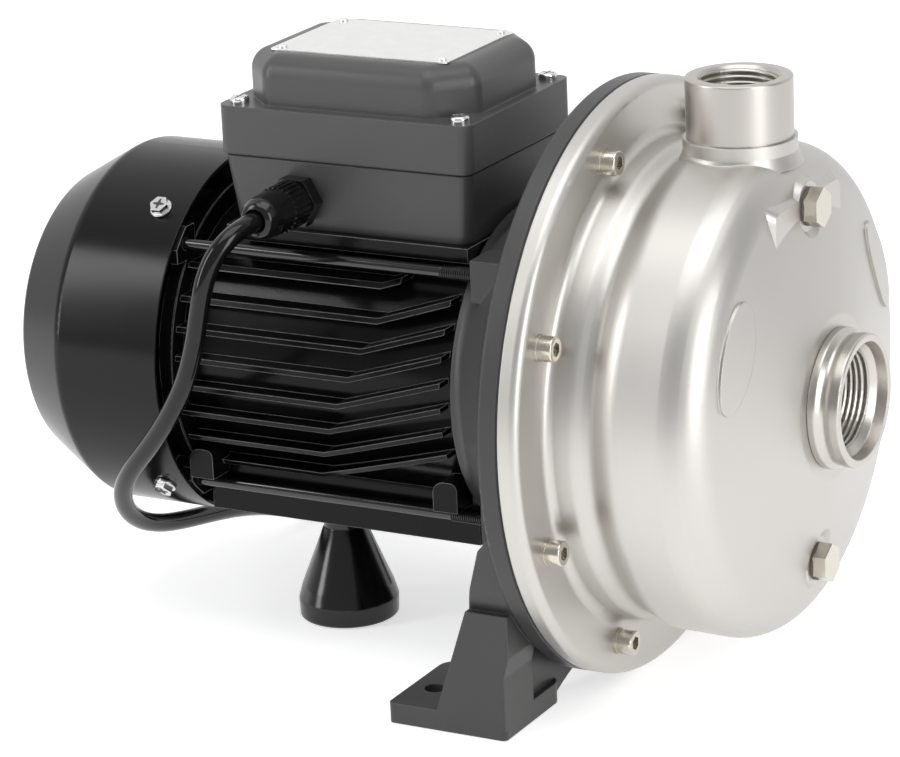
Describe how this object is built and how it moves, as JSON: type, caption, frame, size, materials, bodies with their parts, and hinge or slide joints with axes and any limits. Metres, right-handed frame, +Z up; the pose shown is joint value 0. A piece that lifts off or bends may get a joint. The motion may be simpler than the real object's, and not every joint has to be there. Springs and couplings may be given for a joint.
{
  "type": "centrifugal pump",
  "caption": "Close-coupled electric centrifugal pump: round stainless casing with threaded suction and discharge, finned motor, terminal box, bracket feet and mains lead.",
  "frame": {"origin": "midway between the two foot bolt holes, on the floor that the pump stands on, under the shaft", "axes": "+X along the shaft out of the suction port, +Z up out of the discharge port, +Y across"},
  "size_m": [0.354, 0.3434, 0.252],
  "materials": {
    "stainless": "satin",
    "socket_steel": "satin",
    "nickel_fasteners": "satin",
    "grey_casting": "satin",
    "black_casting": "gloss",
    "fan_cover_paint": "satin",
    "box_enamel": "satin",
    "plate_metal": "satin",
    "black_nylon": "satin",
    "fan_nylon": "matte",
    "cord_jacket": "satin",
    "tie_plastic": "satin",
    "plug_plastic": "satin",
    "brass_pins": "satin",
    "black_rubber": "satin",
    "seal_rubber": "matte",
    "shaft_steel": "satin",
    "bearing_steel": "gloss",
    "impeller_brass": "satin",
    "seal_ceramic": "satin",
    "seal_carbon": "satin",
    "laminations": "matte",
    "copper_winding": "satin",
    "terminal_plastic": "satin",
    "capacitor_can": "satin"
  },
  "bodies": {
    "pump_housing": {"bracket": "grey_casting", "casing": "stainless", "casing_screw_washers": "nickel_fasteners", "casing_screws": "nickel_fasteners", "casing_seal": "seal_rubber", "cone_foot": "black_rubber", "cord_coil": "cord_jacket", "cord_tail": "cord_jacket", "cord_tie": "tie_plastic", "discharge_socket": "socket_steel", "drain_plug": "nickel_fasteners", "drain_plug_washer": "seal_rubber", "fan_cover": "fan_cover_paint", "fan_cover_screws": "nickel_fasteners", "foot_screw": "nickel_fasteners", "front_bearing_outer_ring": "bearing_steel", "gland_body": "black_nylon", "gland_locknut": "black_nylon", "gland_nut": "black_nylon", "gland_seal": "seal_rubber", "mains_plug": "plug_plastic", "motor_frame": "black_casting", "plug_pins": "brass_pins", "power_cord": "cord_jacket", "priming_plug": "nickel_fasteners", "priming_plug_washer": "seal_rubber", "rating_plate": "plate_metal", "rating_plate_rivets": "plate_metal", "rear_bearing_outer_ring": "bearing_steel", "rear_shield": "black_casting", "rim_seal": "seal_rubber", "run_capacitor": "capacitor_can", "seal_plate": "stainless", "seal_seat": "seal_ceramic", "stator_core": "laminations", "stator_winding": "copper_winding", "suction_socket": "socket_steel", "terminal_block": "terminal_plastic", "terminal_box_base": "box_enamel", "terminal_box_gasket": "seal_rubber", "terminal_box_lid": "box_enamel", "terminal_box_screws": "nickel_fasteners", "tie_rod_nuts": "nickel_fasteners", "tie_rods": "black_casting", "wave_spring": "shaft_steel"},
    "rotor": {"motor_shaft": "shaft_steel", "impeller": "impeller_brass", "impeller_key": "shaft_steel", "impeller_nut": "nickel_fasteners", "seal_head": "seal_carbon", "seal_spring": "shaft_steel", "slinger": "seal_rubber", "rotor_core": "laminations", "front_bearing_inner_ring": "bearing_steel", "rear_bearing_inner_ring": "bearing_steel", "cooling_fan": "fan_nylon", "fan_circlip": "shaft_steel"},
    "front_ball_set": {"front_bearing_balls": "bearing_steel"},
    "rear_ball_set": {"rear_bearing_balls": "bearing_steel"}
  },
  "joints": [
    {"name": "shaft_spin", "type": "hinge", "parent": "pump_housing", "child": "rotor", "pos_m": [0, 0, 0.122], "axis": [1, 0, 0], "continuous": true},
    {"name": "front_balls_orbit", "type": "hinge", "parent": "pump_housing", "child": "front_ball_set", "pos_m": [0, 0, 0.122], "axis": [1, 0, 0], "continuous": true},
    {"name": "rear_balls_orbit", "type": "hinge", "parent": "pump_housing", "child": "rear_ball_set", "pos_m": [0, 0, 0.122], "axis": [1, 0, 0], "continuous": true}
  ],
  "couplings": [
    {"joint": "front_balls_orbit", "follows": "shaft_spin", "ratio": 0.38175},
    {"joint": "rear_balls_orbit", "follows": "shaft_spin", "ratio": 0.38175}
  ]
}
